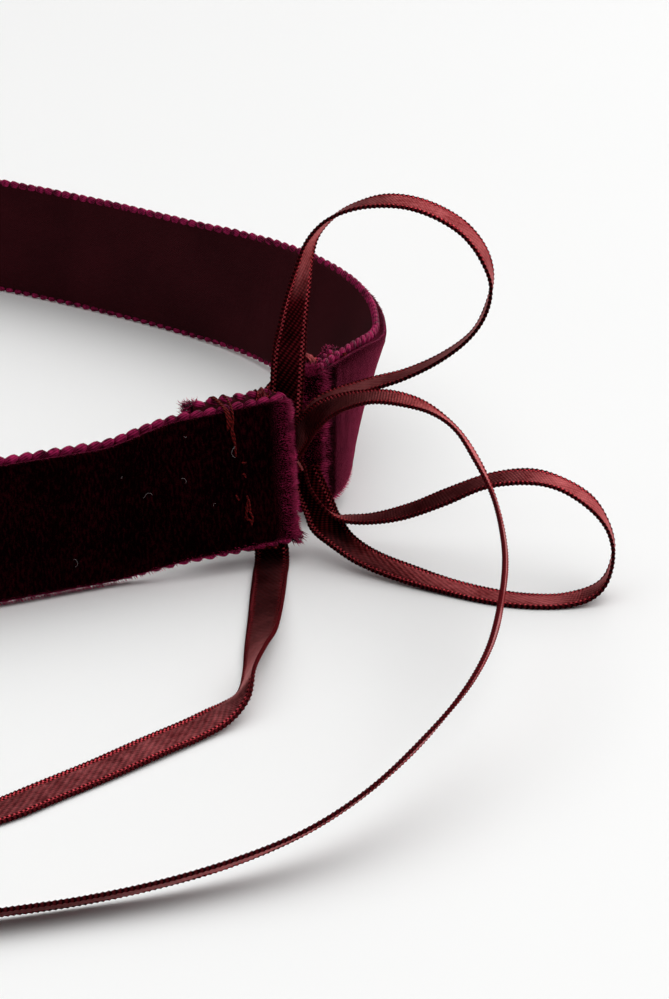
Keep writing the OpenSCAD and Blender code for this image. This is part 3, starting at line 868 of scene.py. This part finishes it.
def near_stitches(material):
    """Thread wrapped over the near casing's upper edge and worked down both faces."""
    piece = Piece()
    radius = THREAD_DIAMETER * 0.26
    for n in range(4):
        wrapped_thread(piece, 0, 1, (4.65 + n * 0.16) * MM, spread(0.5 * MM), radius)
    front = GROUND_THICKNESS / 2 + PILE_HEIGHT
    runs = [[(4.6, 5.0, 0.05), (4.85, 4.3, 0), (4.75, 3.6, 0.1), (4.6, 2.9, 0), (4.7, 2.2, 0.3)],
            [(4.8, 4.6, 0.2), (4.65, 3.9, 0), (4.55, 3.2, 0.15), (4.6, 2.4, 0.05), (4.5, 1.7, 0.3)],
            [(4.2, 1.5, 0.3), (3.9, 1.3, 0.05), (3.6, 1.4, 0.3)],
            [(4.3, 0.5, 0.3), (3.9, 0.3, 0.1), (3.8, -0.2, 0.3)],
            [(4.9, -1.0, 0.3), (4.7, -1.5, 0.1), (4.5, -1.8, 0.3)],
            [(3.9, -1.2, 0.3), (3.75, -1.9, 0), (3.65, -2.7, 0.1), (3.8, -3.4, 0.3)],
            [(3.7, -1.7, 0.2), (3.95, -2.4, 0), (4.05, -3.1, 0.05), (3.8, -3.9, 0.3)],
            [(4.1, -2.3, 0.2), (3.75, -2.8, 0), (3.5, -3.4, 0), (3.55, -4.1, 0.3)],
            [(4.3, -3.1, 0.3), (3.9, -3.4, 0.05), (3.6, -3.8, 0.05), (3.7, -4.3, 0.3)]]
    for run in runs:
        thread_run(piece, 0, 1, front, run, radius)
    for height in (3.6, 1.2, -1.2, -3.6):
        run = [(5.1, height + 1, 0.3), (4.7, height, 0), (5.1, height - 0.9, 0.3)]
        thread_run(piece, 0, 1, TAB_BACK, run, radius)
    return piece.make("near_stitch_thread", material)


def far_stitches(material):
    """The far casing's stitches, worked the same way but pulled deeper into the pile."""
    piece = Piece()
    radius = THREAD_DIAMETER * 0.25
    for n in range(3):
        wrapped_thread(piece, BAND_LENGTH, -1, (4.7 + n * 0.2) * MM, spread(0.3 * MM), radius,
                       sunk=0.4 * MM)
    front = GROUND_THICKNESS / 2 + PILE_HEIGHT
    for face, depth in ((front, 0.35), (TAB_BACK, 0.15)):
        for height in (3.2, 0.9, -1.4, -3.7):
            run = [(5.1, height + 0.9, depth + 0.2), (4.8, height, depth),
                   (5.2, height - 0.9, depth + 0.2)]
            thread_run(piece, BAND_LENGTH, -1, face, run, radius)
    return piece.make("far_stitch_thread", material)


# ---- the ribbon held by the band, and the knot ----

def near_lead_route():
    """Up through the near casing, out over the fold's upper corner, down to the knot."""
    near = 1.7 * MM
    along = band_frame(near)[1]
    return [
        (band_point(near, -FOLD_RADIUS, -HALF_BAND - 0.2 * MM), along),
        (band_point(near, -FOLD_RADIUS, 0), along),
        (band_point(near - 0.3 * MM, -FOLD_RADIUS, HALF_BAND - 1.2 * MM), along),
        (band_point(near - 0.7 * MM, -FOLD_RADIUS - 0.1 * MM, HALF_BAND), along),
        (band_point(near - 1.0 * MM, -FOLD_RADIUS - 0.8 * MM, HALF_BAND + 0.5 * MM), along),
        (band_point(near - 1.2 * MM, TAB_BACK + 0.2 * MM, HALF_BAND + 0.3 * MM), along),
        (band_point(near - 1.5 * MM, TAB_BACK - 0.4 * MM, HALF_BAND - 0.9 * MM), along),
        (Vector((0.0484, -0.0302, 0.0098)), Vector((-0.9, -0.3, -0.4))),
        (Vector((0.0490, -0.0299, 0.0084)), Vector((-0.7, -0.6, -0.4)))]


def far_lead_route():
    """Through the far casing, and from both of its mouths back to the knot."""
    place = BAND_LENGTH - 1.7 * MM
    top, bottom = HALF_BAND + 0.45 * MM, -HALF_BAND - 0.45 * MM
    along = band_frame(place)[1] * -1
    at_end = BAND_LENGTH - 0.9 * MM
    return [
        (Vector((0.0488, -0.0293, 0.0086)), Vector((1, 0.3, 0.3))),
        (Vector((0.0480, -0.0279, 0.0092)), Vector((1, 0.3, 0.3))),
        (Vector((0.0475, -0.0269, 0.0108)), Vector((0.8, 0.8, 0.3))),
        (band_point(at_end, TAB_BACK - 0.4 * MM, HALF_BAND - 0.7 * MM), along),
        (band_point(at_end, TAB_BACK + 0.3 * MM, top - 0.1 * MM), along),
        (band_point(at_end, -FOLD_RADIUS - 0.5 * MM, top - 0.1 * MM), along),
        (band_point(at_end, -FOLD_RADIUS, HALF_BAND - 0.5 * MM), along),
        (band_point(place, -FOLD_RADIUS, 2 * MM), along),
        (band_point(place, -FOLD_RADIUS, -2 * MM), along),
        (band_point(place, -FOLD_RADIUS, 0.3 * MM - HALF_BAND), along),
        (band_point(place, -FOLD_RADIUS - 0.4 * MM, bottom), along),
        (band_point(place, TAB_BACK + 0.3 * MM, bottom), along),
        (band_point(place, TAB_BACK - 0.3 * MM, 1 * MM - HALF_BAND), along),
        (Vector((0.0472, -0.0265, 0.0052)), Vector((0.8, 0.8, -0.3))),
        (Vector((0.0480, -0.0279, 0.0073)), Vector((1, 0.3, -0.3))),
        (Vector((0.0488, -0.0293, 0.0080)), Vector((1, 0.3, -0.3)))]


# How far the held ribbon is gathered in, at even places along it: where it turns over
# a casing's edge, and where it goes into the knot.
NEAR_GATHERS = (1, 1, 0.85, 0.45, 0.38, 0.5, 0.7)
FAR_GATHERS = (0.7, 0.5, 0.4, 0.8, 1, 0.8, 0.45, 0.5, 0.7)


def knot_turn_route():
    """A little more than one turn round the knot's core, its ends tucked in."""
    route = []
    for n in range(19):
        angle = math.radians(-40 + n * 22)
        radius = KNOT_RADIUS * (0.72 if n in (0, 18) else 1)
        place = KNOT_AT + Vector((math.cos(angle) * radius, (n - 9) * 0.03 * MM,
                                  math.sin(angle) * radius))
        route.append((place, Vector((0.12 * math.sin(angle), 1, 0.1))))
    return route


def knot_core(material):
    """The ribbons bunched inside the knot: a bundle with deep lengthwise creases."""
    piece = Piece()
    sides = 40
    rows = []
    places = []
    for n in range(13):
        share = n / 12
        centre = KNOT_AT + Vector((0, (share - 0.5) * KNOT_LENGTH, 0))
        girth = KNOT_RADIUS * (0.62 + 0.32 * math.sin(math.pi * share))
        row = []
        for k in range(sides):
            angle = math.tau * k / sides
            crease = 1 + 0.13 * math.sin(angle * 5 + share * 1.5) + 0.05 * math.sin(angle * 11)
            row.append(centre + Vector((math.cos(angle), 0, math.sin(angle))) * girth * crease)
        rows.append(row)
        places.append([(share * KNOT_LENGTH / MM, math.sin(math.tau * k / sides * 3) * 0.6)
                       for k in range(sides)])
    piece.add_rows(rows, places)
    return piece.make("knot_core_folds", material)


def lint_hairs(material):
    """A few pale stray hairs caught on the band's pile."""
    piece = Piece()
    spots = [(4.5, 2.4, 1.0), (9.0, 4.6, 0.2), (9.6, 0.9, 0.6), (12.8, 0.6, 0.8), (19.6, -3.4, 0.8),
             (6.9, -1.6, 0.3), (15, 3.2, 0.2)]
    surface = GROUND_THICKNESS / 2 + PILE_HEIGHT * 1.03
    for place, height, size in spots:
        turn = random.uniform(0, math.tau)
        points = []
        for n in range(7):
            angle = turn + n * 0.45
            points.append(band_point((place + math.cos(angle) * size * 0.5) * MM,
                                     surface + (0.1 if n % 3 else 0) * MM,
                                     (height + math.sin(angle) * size * 0.5) * MM))
        piece.add_tube(smooth_line(points, 2), 0.011 * MM, sides=5)
    return piece.make("lint_hairs", material)


def hold(piece, slot, *nodes):
    """A piece that stays with the neckband and stands for its CAD nodes."""
    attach(piece, "neckband")
    if nodes:
        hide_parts(*nodes)
    return piece


def make_band(satin):
    velvet, fibre, thread = velvet_look(), fibre_look(), thread_look()
    loops = selvedge_look()
    cloth = hold(ground_cloth(ground_look()), "velvet_ground",
                 "velvet_ground", "near_casing", "far_casing")
    on_cloth = [
        hold(pile_surface(velvet), "velvet_pile", "velvet_pile"),
        hold(edge_fibres(fibre), "velvet_pile"),
        hold(fold_fibres("near_fold_fibres", 0, -1, fibre), "velvet_pile"),
        hold(fold_fibres("far_fold_fibres", BAND_LENGTH, 1, fibre), "velvet_pile"),
        hold(frayed_ends(fibre), "velvet_pile"),
        hold(weft_loops("upper_weft_loops", 1, loops), "selvedge", "upper_selvedge"),
        hold(weft_loops("lower_weft_loops", -1, loops), "selvedge", "lower_selvedge"),
        hold(near_stitches(thread), "thread", "near_stitching"),
        hold(far_stitches(thread), "thread", "far_stitching"),
        hold(lint_hairs(lint_look()), "thread")]
    hold(ribbon("near_lead_ribbon", near_lead_route(), satin, NEAR_GATHERS)[0],
         "satin", "near_lead")
    hold(ribbon("far_lead_ribbon", far_lead_route(), satin, FAR_GATHERS)[0],
         "satin", "far_lead")
    hold(ribbon("knot_turn", knot_turn_route(), satin, (0.72, 0.72))[0], "satin", "knot_wrap")
    hold(knot_core(satin), "satin", "knot_core")


# ---- floor and light ----

def make_floor():
    look = Look("floor", Roughness=0.5, Specular_IOR_Level=0.2)
    tint = look.noise(6, detail=1)
    look.colour(look.mix(tint, (0.88, 0.88, 0.875, 1), (0.92, 0.92, 0.915, 1)))
    mesh = bpy.data.meshes.new("floor")
    reach = 3.0
    mesh.from_pydata([(-reach, -reach, 0), (reach, -reach, 0), (reach, reach, 0),
                      (-reach, reach, 0)], [], [(0, 1, 2, 3)])
    mesh.materials.append(look.material)
    floor = bpy.data.objects.new("floor", mesh)
    bpy.context.collection.objects.link(floor)


def area_light(name, place, target, size, energy):
    data = bpy.data.lights.new(name, "AREA")
    data.shape = "RECTANGLE"
    data.size, data.size_y = size
    data.energy = energy
    light = bpy.data.objects.new(name, data)
    light.location = place
    light.rotation_euler = (Vector(target) - Vector(place)).to_track_quat("-Z", "Y").to_euler()
    bpy.context.collection.objects.link(light)


def make_light():
    """A bright studio: white behind and to the right, dim in front and to the left, with
    one overhead softbox. The backdrop itself looks plain white."""
    world = bpy.data.worlds.new("studio")
    world.use_nodes = True
    nodes = world.node_tree.nodes
    links = world.node_tree.links
    split = nodes.new("ShaderNodeSeparateXYZ")
    links.new(nodes.new("ShaderNodeTexCoord").outputs["Generated"], split.inputs[0])

    def brightness(axis, start, end, low, high):
        ramp = nodes.new("ShaderNodeMapRange")
        for socket, value in (("From Min", start), ("From Max", end), ("To Min", low),
                              ("To Max", high)):
            ramp.inputs[socket].default_value = value
        links.new(split.outputs[axis], ramp.inputs["Value"])
        return ramp.outputs[0]

    product = nodes.new("ShaderNodeMath")
    product.operation = "MULTIPLY"
    links.new(brightness("X", -0.12, 0.25, 0.06, 1.15), product.inputs[0])
    links.new(brightness("Y", -0.7, 0.6, 0.12, 1.6), product.inputs[1])
    backdrop = nodes.new("ShaderNodeMix")
    backdrop.inputs["B"].default_value = 0.9
    links.new(nodes.new("ShaderNodeLightPath").outputs["Is Camera Ray"],
              backdrop.inputs["Factor"])
    links.new(product.outputs[0], backdrop.inputs["A"])
    background = nodes["Background"]
    background.inputs["Color"].default_value = (1, 1, 1, 1)
    links.new(backdrop.outputs["Result"], background.inputs["Strength"])
    bpy.context.scene.world = world
    area_light("overhead_softbox", (0.05, 0.02, 0.7), (0.04, -0.04, 0), (1.8, 1.8), 8.5)
    bpy.context.scene.view_settings.view_transform = "Standard"


make_camera()
satin_material = satin_look()
make_bow(satin_material)
make_band(satin_material)
make_floor()
make_light()
